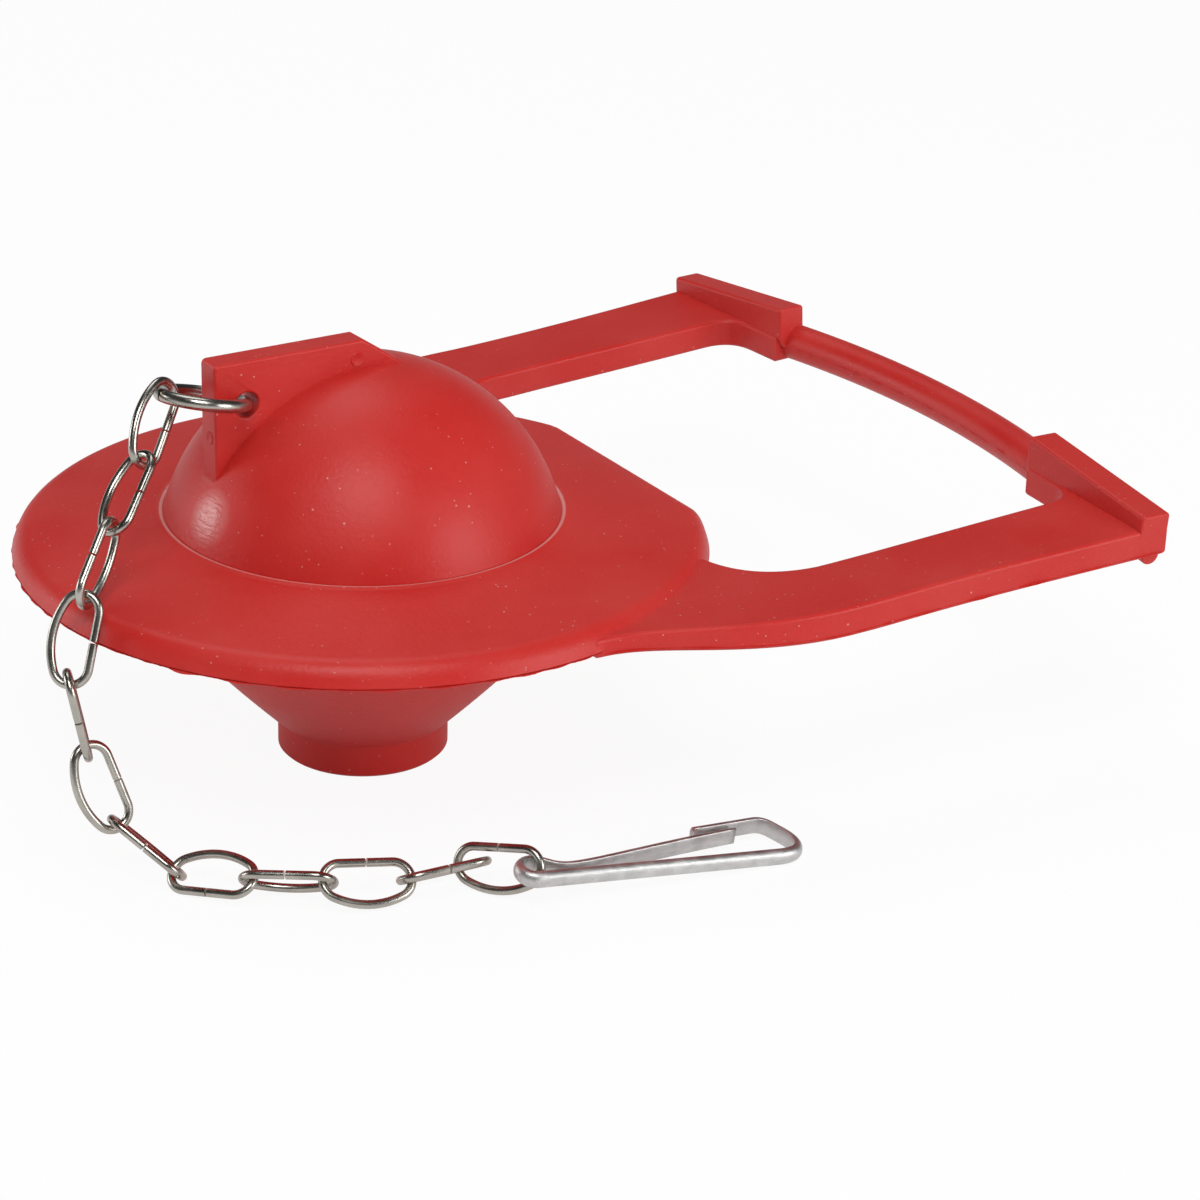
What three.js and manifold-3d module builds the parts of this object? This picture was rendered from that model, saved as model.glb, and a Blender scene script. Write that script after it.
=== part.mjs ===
import * as THREE from 'three';
import { mergeVertices } from 'three/addons/utils/BufferGeometryUtils.js';
import Module from 'manifold-3d';

// Toilet flapper: a moulded rubber float with a seal disc, two hinge arms and a pull chain that ends
// in a spring clip. Millimetres, +Z up. The origin is the centre of the seal disc, on the plane of its
// lower edge; +X points along the arms.

// ---- Sizes --------------------------------------------------------------------------------------

// Seal disc
const discRadius = 40;            // lower edge of the rim
const rimHeight = 2.8;            // crest of the rim above the lower edge
const rimRound = 2.5;             // width of the rounded edge between the crest and the lower edge
const discBackX = 36.9;           // straight edge between the arms

// Dome of the float, a spherical cap
const domeBaseRadius = 22.8;
const domeBaseZ = 4.46;
const domeHeight = 17.75;         // from the base line to the top
const shellWall = 2.4;            // rubber wall of the dome and the cone

// Cone and foot under the disc
const coneTopRadius = 28.3;
const coneBulge = 0.7;            // how far the cone swells outside a straight side
const footRadius = 10;
const footHeight = 4;
const footZ = -25.46;             // lowest face
const footBore = 7.5;             // radius of the air hole
const neckRound = 0.8;            // the cone starts this much outside the foot

// Fin that carries the chain
const finThickness = 3.4;
const finFrontX = -19.5;
const finTopZ = 25.35;
const finTopLength = 18.6;        // flat top edge
const finBevelX = 4.7;            // where the sloping back edge meets the dome
const finHoleX = -15.5;
const finHoleZ = 20.2;
const finHoleRadius = 1.45;
const finEdge = 0.3;              // rounding of the edges

// Hinge arms
const armRootX = 7;               // where the outer side leaves the rim
const armFlareX = 36;             // where the outer side becomes straight
const armStraightX = 46;          // where the arm's own straight length starts
const armRootAngle = 42.2;        // degrees round the rim, where the inner side meets it
const armRootSink = 1.8;          // how far the root reaches into the disc
const armInnerY = 35.1;           // inner side where the arms leave the disc
const armOuterY = 46.3;           // outer side there
const armSpread = 2.2;            // how much further out the outer side is at the bars
const armInnerSpread = 0.5;       // and the inner side
const armThickness = 3.6;
const armRootLift = 1.3;          // the underside starts this much higher, level with the rim
const webRadius = 4;              // web in the corner between the arm and the bar
const webLedge = 0.25;            // the web stands out this much in front of the bar
const armTopZ = 2.1;              // top face at x = armLevelX
const armLevelX = 40;
const armRise = 0.042;            // slope of the arms behind armLevelX
const armRiseAtDisc = 0.016;      // slope in front of it
const armEdge = 0.5;              // rounding of the edges

// Bars across the ends of the arms, with the rod between them
const barWidth = 3.9;
const barHeight = 5.7;            // top face to the bottom of the half-round bead
const barLength = 22.8;
const barX = 78.2;                // middle of the bar
const barY = 37.3;
const barTopZ = 6.5;
const barSkew = 3.5;              // degrees, inner end further back
const barDroop = 5.2;             // degrees, outer end lower
const barChamfer = 0.45;          // top edges
const barEnd = 0.3;               // rounding of the end faces
const rodSeat = 1.2;              // how far the rod runs into the bars
const rodRadius = 2.35;
const rodZ = 2.4;
const rodBack = 1.1;              // the rod's ends lie this much behind the middle of the bars
const rodBow = 3.1;               // how far the middle of the rod stands behind its ends

// Chain
const ringRadius = 4.75;          // centre line of the ring through the fin
const ringWire = 1.5;
const ringTilt = 13.2;            // degrees, free side up
const linkLength = 10.94;         // over the wire
const linkWidth = 5.68;           // over the wire
const linkWire = 0.98;
const linkEnd = 2.0;              // radius of the centre line round the ends
const wireGap = 0.25;             // play between pieces of wire
const ringPlay = 0.12;            // extra play of the first link on the ring
const buttGap = 0.14;             // open joint where the ends of a bent wire meet

// Spring clip, bent from half-round strip
const stripWidth = 2.0;
const stripThickness = 1.1;
const clipLength = 28.4;          // straight back, eye to the end bend
const clipEye = 1.8;              // centre line of the eye
const clipHeight = 6.95;          // middle of the back to the middle of the hook
const hookLength = 7.8;
const hookDrop = 0.85;            // the hook's end lies this much nearer the back
const endReach = 2.9;             // the end bend beyond the straight back
const tongueShort = 3.1;          // the tongue ends this far before the end of the back
const tongueGap = 0.15;           // clear space between the tongue and the hook
const tongueLift = 0.75;          // clear space between the tongue and the back

// Smoothness
const turns = 64;                 // facets round the float
const wireSides = 8;
const linkSteps = 26;

// ---- Helpers ------------------------------------------------------------------------------------

const wasm = await Module();
wasm.setup();

const V2 = (x, y) => new THREE.Vector2(x, y);
const V3 = (x, y, z) => new THREE.Vector3(x, y, z);
const rad = THREE.MathUtils.degToRad;

function solid(geometry) {
  const g = geometry.clone();
  g.deleteAttribute('normal');
  g.deleteAttribute('uv');
  const merged = mergeVertices(g, 1e-4);
  const index = merged.index.array;
  const tri = [];
  for (let i = 0; i < index.length; i += 3) {
    const [a, b, c] = [index[i], index[i + 1], index[i + 2]];
    if (a !== b && b !== c && c !== a) tri.push(a, b, c);
  }
  return new wasm.Manifold(new wasm.Mesh({
    numProp: 3,
    vertProperties: Float32Array.from(merged.attributes.position.array),
    triVerts: Uint32Array.from(tri),
  }));
}

function geometry(manifold) {
  const m = manifold.getMesh();
  const p = new Float32Array((m.vertProperties.length / m.numProp) * 3);
  for (let i = 0; i < p.length / 3; i++) {
    for (let k = 0; k < 3; k++) p[3 * i + k] = m.vertProperties[i * m.numProp + k];
  }
  const g = new THREE.BufferGeometry();
  g.setAttribute('position', new THREE.BufferAttribute(p, 3));
  g.setIndex(new THREE.BufferAttribute(Uint32Array.from(m.triVerts), 1));
  return g;
}

// A profile of (radius, z) points turned about Z.
function revolve(points, segments = turns) {
  const g = new THREE.LatheGeometry(points, segments);
  g.rotateX(Math.PI / 2);
  return g;
}

function arcPoints(cx, cy, r, from, to, steps) {
  const out = [];
  for (let i = 0; i <= steps; i++) {
    const a = from + (to - from) * i / steps;
    out.push(V2(cx + r * Math.cos(a), cy + r * Math.sin(a)));
  }
  return out;
}

// A flat curve of lines and arcs as a path in space, in the plane z = 0.
class FlatWire extends THREE.Curve {
  constructor(path) {
    super();
    this.path = path;
    this.arcLengthDivisions = 400;
  }
  getPoint(t, target = new THREE.Vector3()) {
    const p = this.path.getPoint(Math.min(1, Math.max(0, t)));
    return target.set(p.x, p.y, 0);
  }
}

function roundSection(diameter, sides) {
  const s = new THREE.Shape();
  // the polygon keeps the area of the round wire
  const r = diameter / 2 * Math.sqrt(2 * Math.PI / sides / Math.sin(2 * Math.PI / sides));
  for (let i = 0; i < sides; i++) {
    const a = (i + 0.5) * 2 * Math.PI / sides;
    if (i === 0) s.moveTo(r * Math.cos(a), r * Math.sin(a));
    else s.lineTo(r * Math.cos(a), r * Math.sin(a));
  }
  s.closePath();
  return s;
}

function bentWire(path, section, steps) {
  return new THREE.ExtrudeGeometry(section, { steps, bevelEnabled: false, extrudePath: new FlatWire(path) });
}

// ---- Float, disc, fin and arms --------------------------------------------------------------------

const domeCentreZ = domeBaseZ + (domeHeight ** 2 - domeBaseRadius ** 2) / (2 * domeHeight);
const domeRadius = domeBaseZ + domeHeight - domeCentreZ;
const neckZ = footZ + footHeight;
const coneFootZ = neckZ + 0.5;
const coneFootRadius = footRadius + neckRound;
const coneSlope = (coneTopRadius - coneFootRadius) / -coneFootZ;

function floatOuter() {
  const crest = discRadius - rimRound;
  const start = Math.asin((domeBaseZ - domeCentreZ) / domeRadius);
  const cone = [];
  for (let i = 0; i <= 6; i++) {
    const t = i / 6;
    const swell = coneBulge * Math.sin(Math.PI * t);
    cone.push(V2(coneFootRadius + (coneTopRadius - coneFootRadius) * t + swell * 0.7, coneFootZ * (1 - t) - swell * 0.7));
  }
  const g = revolve([
    V2(0, footZ),
    V2(footRadius - 0.3, footZ),
    V2(footRadius, footZ + 0.3),
    V2(footRadius, neckZ - 0.3),
    V2(footRadius + neckRound * 0.3, neckZ + 0.15),
    ...cone,
    V2(discRadius - 0.25, 0),
    V2(discRadius, 0.25),
    V2(discRadius - rimRound * 0.12, rimHeight * 0.40),
    V2(discRadius - rimRound * 0.36, rimHeight * 0.74),
    V2(discRadius - rimRound * 0.66, rimHeight * 0.93),
    V2(crest, rimHeight),
    V2(domeBaseRadius + 0.5, domeBaseZ - 0.05),
    ...arcPoints(0, domeCentreZ, domeRadius, start, Math.PI / 2, 9).slice(0, -1),
    V2(0, domeCentreZ + domeRadius),
  ]);
  // the straight back edge keeps the rounded section of the rim
  const p = g.attributes.position;
  for (let i = 0; i < p.count; i++) {
    const inset = discRadius - Math.hypot(p.getX(i), p.getY(i));
    if (inset < rimRound + 0.001) p.setX(i, Math.min(p.getX(i), discBackX - Math.max(0, inset)));
  }
  return g;
}

// The hollow follows the cone and the dome one wall inside them.
function floatHollow() {
  const inner = domeRadius - shellWall;
  const atDisc = coneTopRadius - shellWall * Math.sqrt(1 + coneSlope ** 2);   // inner cone at z = 0
  const boreTopZ = (footBore - atDisc) / coneSlope;
  // height where the inner cone runs into the inner sphere
  const a = 1 + coneSlope ** 2;
  const b = atDisc * coneSlope - domeCentreZ;
  const c = atDisc ** 2 + domeCentreZ ** 2 - inner ** 2;
  const meetZ = (-b + Math.sqrt(Math.max(0, b * b - a * c))) / a;
  const start = Math.atan2(meetZ - domeCentreZ, atDisc + coneSlope * meetZ);
  return revolve([
    V2(0, footZ - 2),
    V2(footBore, footZ - 2),
    V2(footBore, boreTopZ),
    ...arcPoints(0, domeCentreZ, inner, start, Math.PI / 2, 10).slice(0, -1),
    V2(0, domeCentreZ + inner),
  ], 48);
}

function fin() {
  const inDome = domeBaseZ + 1;
  const s = new THREE.Shape();
  s.moveTo(finFrontX, inDome);
  s.lineTo(finFrontX, finTopZ - 0.5);
  s.lineTo(finFrontX + 0.5, finTopZ);
  s.lineTo(finFrontX + finTopLength, finTopZ);
  s.lineTo(finBevelX, domeCentreZ + Math.sqrt(domeRadius ** 2 - finBevelX ** 2) - 0.2);
  s.lineTo(finBevelX, inDome);
  s.closePath();
  const hole = new THREE.Path();
  hole.absarc(finHoleX, finHoleZ, finHoleRadius, 0, 2 * Math.PI, false);
  s.holes.push(hole);
  const g = new THREE.ExtrudeGeometry(s, {
    depth: finThickness - 2 * finEdge, steps: 1, curveSegments: 16,
    bevelEnabled: true, bevelSize: finEdge, bevelOffset: -finEdge, bevelThickness: finEdge, bevelSegments: 2,
  });
  g.translate(0, 0, finEdge - finThickness / 2);
  g.rotateX(Math.PI / 2);
  return g;
}

function armLift(x) {
  return armTopZ + (x - armLevelX) * (x < armLevelX ? armRiseAtDisc : armRise);
}

// How much the underside is raised towards the root of the arm.
function rootLift(x) {
  return armRootLift * (1 - THREE.MathUtils.smoothstep(x, armRootX, armFlareX));
}

// Front face of the bar, where the web meets it.
function webX(y) {
  return barX - barWidth / 2 - webLedge + (barY - y) * Math.tan(rad(barSkew));
}

// Plan of the arm on the +Y side: it leaves the rim along its edge and flares out to the straight part.
function arm() {
  const rootOut = V2(armRootX, Math.sqrt(discRadius ** 2 - armRootX ** 2) - 0.25);
  const rootIn = V2(discRadius - 0.35, 0).rotateAround(V2(0, 0), rad(armRootAngle));
  const flare = armFlareX - armRootX;
  const endX = barX + barWidth * 0.3;
  const straight = endX - armStraightX;
  const s = new THREE.Shape();
  s.moveTo(rootOut.x, rootOut.y);
  s.bezierCurveTo(armRootX + flare * 0.28, discRadius - 1.1, armRootX + flare * 0.45, armOuterY - 0.6, armFlareX, armOuterY);
  s.lineTo(armStraightX, armOuterY + 0.15);
  s.bezierCurveTo(armStraightX + straight * 0.36, armOuterY + 0.4, armStraightX + straight * 0.72, armOuterY + armSpread * 0.7, endX, armOuterY + armSpread);
  const barInnerY = barY - barLength / 2 + barEnd;
  s.lineTo(endX, barY);
  s.lineTo(endX + (barY - barInnerY) * Math.tan(rad(barSkew)), barInnerY);
  s.lineTo(webX(barInnerY), barInnerY);
  const innerY = armInnerY + armInnerSpread;
  s.lineTo(webX(innerY - webRadius), innerY - webRadius);
  s.quadraticCurveTo(webX(innerY), innerY, webX(innerY) - webRadius, innerY - 0.1);
  s.bezierCurveTo(armStraightX + straight * 0.6, armInnerY + armInnerSpread * 0.5, armStraightX + straight * 0.3, armInnerY + 0.1, armStraightX, armInnerY);
  s.lineTo(armLevelX - 1, armInnerY - 0.2);
  s.bezierCurveTo(rootIn.x + 3.6, armInnerY - 0.8, rootIn.x + 0.9, armInnerY - 4, rootIn.x, rootIn.y);
  s.absarc(0, 0, discRadius - armRootSink, rad(armRootAngle + 0.8), Math.atan2(rootOut.y, rootOut.x), false);
  s.closePath();
  const g = new THREE.ExtrudeGeometry(s, {
    depth: armThickness - 2 * armEdge, steps: 1, curveSegments: 9,
    bevelEnabled: true, bevelSize: armEdge, bevelOffset: -armEdge, bevelThickness: armEdge, bevelSegments: 2,
  });
  g.translate(0, 0, armEdge - armThickness);
  const p = g.attributes.position;
  for (let i = 0; i < p.count; i++) {
    const [x, z] = [p.getX(i), p.getZ(i)];
    p.setZ(i, z + armLift(x) + (z < -armThickness / 2 ? rootLift(x) : 0));
  }
  return g;
}

function barSection() {
  const w = barWidth / 2;
  const s = new THREE.Shape();
  s.moveTo(-w, -barHeight + w);
  s.absarc(0, -barHeight + w, w, Math.PI, 2 * Math.PI, false);
  s.lineTo(w, -barChamfer);
  s.lineTo(w - barChamfer, 0);
  s.lineTo(-w + barChamfer, 0);
  s.lineTo(-w, -barChamfer);
  s.closePath();
  return s;
}

function bar() {
  const g = new THREE.ExtrudeGeometry(barSection(), {
    depth: barLength - 2 * barEnd, steps: 1, curveSegments: 8,
    bevelEnabled: true, bevelSize: barEnd, bevelOffset: -barEnd, bevelThickness: barEnd, bevelSegments: 1,
  });
  g.translate(0, 0, barEnd - barLength / 2);
  g.rotateX(Math.PI / 2);
  g.rotateX(rad(-barDroop));
  g.rotateZ(rad(barSkew));
  g.translate(barX, barY, barTopZ);
  return g;
}

function rod() {
  const end = barY - barLength / 2 + rodSeat;
  const x0 = barX + rodBack + Math.tan(rad(barSkew)) * (barLength / 2 - rodSeat);
  const curve = new THREE.QuadraticBezierCurve3(V3(x0, -end, rodZ), V3(x0 + 2 * rodBow, 0, rodZ), V3(x0, end, rodZ));
  return new THREE.ExtrudeGeometry(roundSection(2 * rodRadius, 12), { steps: 14, bevelEnabled: false, extrudePath: curve });
}

function mirrored(g) {
  const m = g.clone();
  m.scale(1, -1, 1);
  const src = m.index ? m.toNonIndexed() : m;
  const p = src.attributes.position;
  for (let i = 0; i < p.count; i += 3) {
    const a = V3(p.getX(i), p.getY(i), p.getZ(i));
    p.setXYZ(i, p.getX(i + 1), p.getY(i + 1), p.getZ(i + 1));
    p.setXYZ(i + 1, a.x, a.y, a.z);
  }
  return src;
}

function flapper() {
  let body = solid(floatOuter()).add(solid(fin()));
  for (const make of [arm, bar]) {
    const g = make();
    body = body.add(solid(g)).add(solid(mirrored(g)));
  }
  body = body.add(solid(rod())).subtract(solid(floatHollow()));
  return geometry(body);
}

// ---- Chain --------------------------------------------------------------------------------------

const wireA = (linkLength - linkWire) / 2;
const wireB = (linkWidth - linkWire) / 2;
const crownY = linkEnd - wireB;       // the crowns lie a little off the middle, towards the straight leg

// Centre line of a link: a straight leg with the butt joint at its middle, two round ends, a bowed leg.
function linkPath() {
  const s = wireA - linkEnd;
  const bow = (s * s + (wireB - crownY) ** 2 - linkEnd ** 2) / (2 * (wireB - crownY - linkEnd));
  const bowY = wireB - bow;
  const a = Math.atan2(crownY - bowY, s);
  const p = new THREE.Path();
  p.moveTo(buttGap / 2, -wireB);
  p.lineTo(s, -wireB);
  p.absarc(s, crownY, linkEnd, -Math.PI / 2, a, false);
  p.absarc(0, bowY, bow, a, Math.PI - a, false);
  p.absarc(-s, crownY, linkEnd, Math.PI - a, 3 * Math.PI / 2, false);
  p.lineTo(-buttGap / 2, -wireB);
  return p;
}

function ringPath() {
  const half = buttGap / 2 / ringRadius;
  const p = new THREE.Path();
  p.absarc(0, 0, ringRadius, half, 2 * Math.PI - half, false);
  return p;
}

// Strip of the clip: hook, end bend, straight back, eye and spring tongue, in the plane z = 0.
// The middle of the eye is the origin and the back runs along +X.
function clipPath() {
  const backY = -clipEye;
  const hookY = backY + clipHeight;
  const endX = clipLength;
  const p = new THREE.Path();
  p.moveTo(endX - hookLength, hookY - hookDrop);
  p.lineTo(endX, hookY);
  p.bezierCurveTo(endX + endReach * 0.4, hookY, endX + endReach * 0.6, hookY - endReach * 0.3, endX + endReach * 0.8, hookY - endReach * 0.7);
  p.bezierCurveTo(endX + endReach * 1.5, backY + endReach * 0.6, endX + endReach * 1.1, backY, endX + endReach * 0.1, backY);
  p.lineTo(0, backY);
  p.absarc(0, 0, clipEye, -Math.PI / 2, -Math.PI / 2 - 3.75, true);
  const lowY = backY + stripThickness + tongueLift;
  p.bezierCurveTo(clipEye * 1.17, clipEye * 0.39, clipEye * 1.44, lowY, clipEye * 2.33, lowY);
  const tipY = hookY - hookDrop - stripThickness - tongueGap;
  p.bezierCurveTo(endX * 0.25, lowY, endX * 0.5, lowY + (tipY - lowY) * 0.62, endX - tongueShort, tipY + hookDrop * 0.6);
  return p;
}

// Half-round section: x across the strip, the flat side at the bottom looks into the clip.
function stripSection() {
  const w = stripWidth / 2;
  const t = stripThickness / 2;
  const s = new THREE.Shape();
  s.moveTo(w, -t);
  s.lineTo(w * 0.93, 0);
  s.lineTo(w * 0.6, t * 0.73);
  s.lineTo(0, t);
  s.lineTo(-w * 0.6, t * 0.73);
  s.lineTo(-w * 0.93, 0);
  s.lineTo(-w, -t);
  s.closePath();
  return s;
}

// How the chain lies: heading from +X towards +Y, slope up, and roll about the length of the piece,
// all in degrees. At roll 0 a link lies flat with its straight leg on the right.
const ringLie = [180, ringTilt, 7.7];
const ringContact = -17;               // where the first link hangs on the ring, from its free side
const linkLie = [
  [-143.5, -44.5, 109],
  [-145, -39.5, -159.5],
  [-144.5, -42, -94],
  [-146, -65, 168.5],
  [-37, -78.5, -16.5],
  [-50, -68.5, -140.5],
  [-54, -31.5, -35.5],
  [-54.5, 7.5, 35.5],
  [-39, 3.5, -46],
  [-15, -6, -134.5],
  [-8.5, 2.5, -32.5],
  [-54.5, 9.5, -110.5],
];
const looseBy = 1.92;                 // the last link lies pushed up into the one before it
const clipLie = [-10, -4.8, 7];
const clipPlay = [0.6, -0.2, 0.5];    // how far the last link's end sits past the eye's middle

function axes([heading, slope, roll]) {
  const [h, s, r] = [rad(heading), rad(slope), rad(roll)];
  const u = V3(Math.cos(s) * Math.cos(h), Math.cos(s) * Math.sin(h), Math.sin(s));
  const side = V3(-Math.sin(h), Math.cos(h), 0);
  const up = V3().crossVectors(u, side);
  const v = side.clone().multiplyScalar(Math.cos(r)).addScaledVector(up, Math.sin(r));
  return { u, v, n: V3().crossVectors(u, v) };
}

const material = {
  rubber: () => new THREE.MeshStandardMaterial({ color: 0xc42c28, roughness: 0.5, metalness: 0 }),
  steel: () => new THREE.MeshStandardMaterial({ color: 0xc9c9c7, roughness: 0.16, metalness: 1 }),
  zinc: () => new THREE.MeshStandardMaterial({ color: 0xa8aaa9, roughness: 0.42, metalness: 1 }),
};

function named(name, g, m) {
  const mesh = new THREE.Mesh(g, m);
  mesh.name = name;
  return mesh;
}

function place(mesh, { u, v, n }, position) {
  mesh.quaternion.setFromRotationMatrix(new THREE.Matrix4().makeBasis(u, v, n));
  mesh.position.copy(position);
  return mesh;
}

const object = new THREE.Group();
object.add(named('flapper', flapper(), material.rubber()));

const chain = new THREE.Group();
object.add(chain);

// The ring's wire passes through the middle of the fin's hole.
const ringAxes = axes(ringLie);
const ringCentre = V3(finHoleX, 0, finHoleZ).addScaledVector(ringAxes.u, ringRadius);
chain.add(place(named('chain_ring', bentWire(ringPath(), roundSection(ringWire, 10), 36), material.steel()), ringAxes, ringCentre));

// Each link hangs in the end of the piece before it: its first crown sits one wire and the play
// inside that piece's last crown.
const out = ringAxes.u.clone().multiplyScalar(Math.cos(rad(ringContact)))
  .addScaledVector(ringAxes.v, Math.sin(rad(ringContact)));
let crown = ringCentre.clone().addScaledVector(out, ringRadius);
let along = out.clone().multiplyScalar(0.35);
let step = (ringWire + linkWire) / 2 + wireGap + ringPlay;
linkLie.forEach((angles, i) => {
  const a = axes(angles);
  if (i === linkLie.length - 1) step += looseBy;
  const pull = along.clone().add(a.u).normalize();
  const first = crown.clone().addScaledVector(pull, -step);
  const centre = first.clone().addScaledVector(a.u, wireA).addScaledVector(a.v, -crownY);
  const name = `chain_link_${String(i + 1).padStart(2, '0')}`;
  chain.add(place(named(name, bentWire(linkPath(), roundSection(linkWire, wireSides), linkSteps), material.steel()), a, centre));
  crown = first.clone().addScaledVector(a.u, 2 * wireA);
  along = a.u;
  step = linkWire + wireGap;
});

// The last link's end passes through the eye of the clip.
const clipAxes = axes(clipLie);
const eye = crown.clone().addScaledVector(clipAxes.u, -clipPlay[0])
  .addScaledVector(clipAxes.v, -clipPlay[1]).addScaledVector(clipAxes.n, -clipPlay[2]);
chain.add(place(named('spring_clip', bentWire(clipPath(), stripSection(), 64), material.zinc()), clipAxes, eye));

export default object;
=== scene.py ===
"""Toilet flapper: red rubber float with its seal disc and arms, steel pull chain and spring clip."""

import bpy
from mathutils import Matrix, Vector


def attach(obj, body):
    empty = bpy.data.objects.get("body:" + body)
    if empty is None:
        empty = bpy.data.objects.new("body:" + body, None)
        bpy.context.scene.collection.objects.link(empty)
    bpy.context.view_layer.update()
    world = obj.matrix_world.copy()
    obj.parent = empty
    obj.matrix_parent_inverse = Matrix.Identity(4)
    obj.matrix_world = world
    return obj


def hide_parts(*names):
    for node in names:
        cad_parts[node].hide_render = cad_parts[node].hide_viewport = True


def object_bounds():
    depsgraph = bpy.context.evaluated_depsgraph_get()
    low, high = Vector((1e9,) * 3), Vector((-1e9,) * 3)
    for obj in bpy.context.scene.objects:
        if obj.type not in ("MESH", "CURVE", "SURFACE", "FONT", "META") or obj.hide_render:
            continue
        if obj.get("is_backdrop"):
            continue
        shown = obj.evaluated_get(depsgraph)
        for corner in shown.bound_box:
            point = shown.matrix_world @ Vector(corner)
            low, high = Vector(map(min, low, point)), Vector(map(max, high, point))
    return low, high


bl_info = {
    "name": "Toilet Flapper",
    "version": (1, 0, 0),
    "blender": (4, 5, 0),
    "location": "View3D > Sidebar > Flapper",
    "description": "Builds a rubber toilet flapper with its pull chain and spring clip",
    "category": "Add Mesh",
}

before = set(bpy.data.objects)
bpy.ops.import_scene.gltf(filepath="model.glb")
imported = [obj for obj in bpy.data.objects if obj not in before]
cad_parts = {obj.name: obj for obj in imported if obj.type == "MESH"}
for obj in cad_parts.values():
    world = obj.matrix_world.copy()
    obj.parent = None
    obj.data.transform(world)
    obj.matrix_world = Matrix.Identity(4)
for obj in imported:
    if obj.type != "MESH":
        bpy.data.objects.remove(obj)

import math
import bpy
import bmesh
from bpy.props import FloatProperty, FloatVectorProperty, PointerProperty
from mathutils import Matrix, Vector, noise

CAD_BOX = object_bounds()
MM = 0.001

# A point on the axis, two points on one level, and how far an outline's edge turns, in radians
ON_AXIS, SAME_LEVEL, EDGE_TURN = 1e-7, 1e-9, 1.2

# How the chain lies: heading, slope and roll of each piece, in degrees
RING_LIE = (180, 13.2, 7.7)
LINK_LIE = (
    (-143.5, -44.5, 109), (-145, -39.5, -159.5), (-144.5, -42, -94), (-146, -65, 168.5),
    (-37, -78.5, -16.5), (-50, -68.5, -140.5), (-54, -31.5, -35.5), (-54.5, 7.5, 35.5),
    (-39, 3.5, -46), (-15, -6, -134.5), (-8.5, 2.5, -32.5), (-54.5, 9.5, -110.5),
)
CLIP_LIE = (-10, -4.8, 7)


# ---------------------------------------------------------------- sizes and colours

def length(name, about, mm):
    return FloatProperty(name=name, description=about, default=mm * MM,
                         unit="LENGTH", subtype="DISTANCE", precision=5)


def colour(name, about, rgb):
    return FloatVectorProperty(name=name, description=about, default=rgb,
                               size=3, subtype="COLOR", min=0, max=1)


class FlapperBodySizes(bpy.types.PropertyGroup):
    disc_radius: length("Disc radius", "Lower edge of the seal disc", 40)
    rim_height: length("Rim height", "Crest of the rim above its lower edge", 2.8)
    rim_round: length("Rim round", "Width of the rounded edge of the rim", 2.5)
    disc_back: length("Disc back", "Straight edge of the disc between the arms", 36.9)
    dome_base: length("Dome base", "Radius of the dome where it meets the disc", 22.8)
    dome_base_z: length("Dome base height", "Height of the dome's base line", 4.46)
    dome_height: length("Dome height", "Top of the dome above its base line", 17.75)
    shell: length("Shell", "Rubber wall of the float", 2.4)
    cone_top: length("Cone top", "Radius of the cone under the disc", 28.3)
    cone_bulge: length("Cone bulge", "Swell of the cone's side", 0.7)
    foot_radius: length("Foot radius", "Round foot under the cone", 10)
    foot_height: length("Foot height", "Straight part of the foot", 4)
    foot_z: length("Foot level", "Lowest face, from the disc's lower edge", -25.46)
    foot_bore: length("Foot bore", "Radius of the air hole", 7.5)
    fin_thickness: length("Fin thickness", "Plate that carries the chain", 3.4)
    fin_top: length("Fin top", "Top edge of the fin", 25.35)
    arm_thickness: length("Arm thickness", "Hinge arms", 3.6)


class FlapperChainSizes(bpy.types.PropertyGroup):
    ring_radius: length("Ring radius", "Centre line of the ring in the fin", 4.75)
    ring_wire: length("Ring wire", "Wire of the ring", 1.5)
    link_length: length("Link length", "Over the wire", 10.94)
    link_width: length("Link width", "Over the wire", 5.68)
    link_wire: length("Link wire", "Wire of the links", 0.98)
    link_end: length("Link end", "Radius round the ends of a link", 2.0)
    butt: length("Butt gap", "Open joint where the wire's ends meet", 0.22)
    play: length("Play", "Between pieces of wire", 0.25)


class FlapperClipSizes(bpy.types.PropertyGroup):
    width: length("Strip width", "Half-round strip of the clip", 2.0)
    thickness: length("Strip thickness", "Half-round strip of the clip", 1.1)
    back: length("Back length", "Straight back of the clip", 28.4)
    eye: length("Eye radius", "Centre line of the eye", 1.8)
    height: length("Clip height", "Back to hook", 6.95)


class FlapperColours(bpy.types.PropertyGroup):
    rubber: colour("Rubber", "Moulded rubber", (0.54, 0.010, 0.006))
    # paler tone of the rubber: used for its uneven tone, and painted as light on faces that look up
    rubber_pale_and_top_light: colour("Rubber pale tone and painted top light", "Paler tone of the rubber, also painted as light on faces that look up", (0.58, 0.034, 0.026))
    # pale dust specks, and also the colour of the painted highlight line round the dome's base
    dust_and_highlight: colour("Dust and painted highlight", "Fine pale specks, and the painted highlight line round the dome's base", (0.80, 0.62, 0.58))
    steel: colour("Steel", "Bright wire of the chain", (0.50, 0.48, 0.43))
    zinc: colour("Zinc", "Dull plating of the clip", (0.66, 0.66, 0.65))
    floor: colour("Floor", "Plain floor", (0.9, 0.9, 0.9))


# ---------------------------------------------------------------- mesh helpers

def mm(*p):
    """Millimetres as metres."""
    return tuple(c * MM for c in p)


def finished(name, mesh, body, node, material):
    """An object at the origin that stands for a node and moves with its body."""
    old = bpy.data.objects.get(name)
    if old is not None:
        bpy.data.objects.remove(old)
    obj = bpy.data.objects.new(name, mesh)
    bpy.context.scene.collection.objects.link(obj)
    mesh.materials.clear()
    mesh.materials.append(material)
    for f in mesh.polygons:
        f.material_index = 0
        f.use_smooth = True
    if node:
        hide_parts(node)
    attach(obj, body)
    return obj


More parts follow.
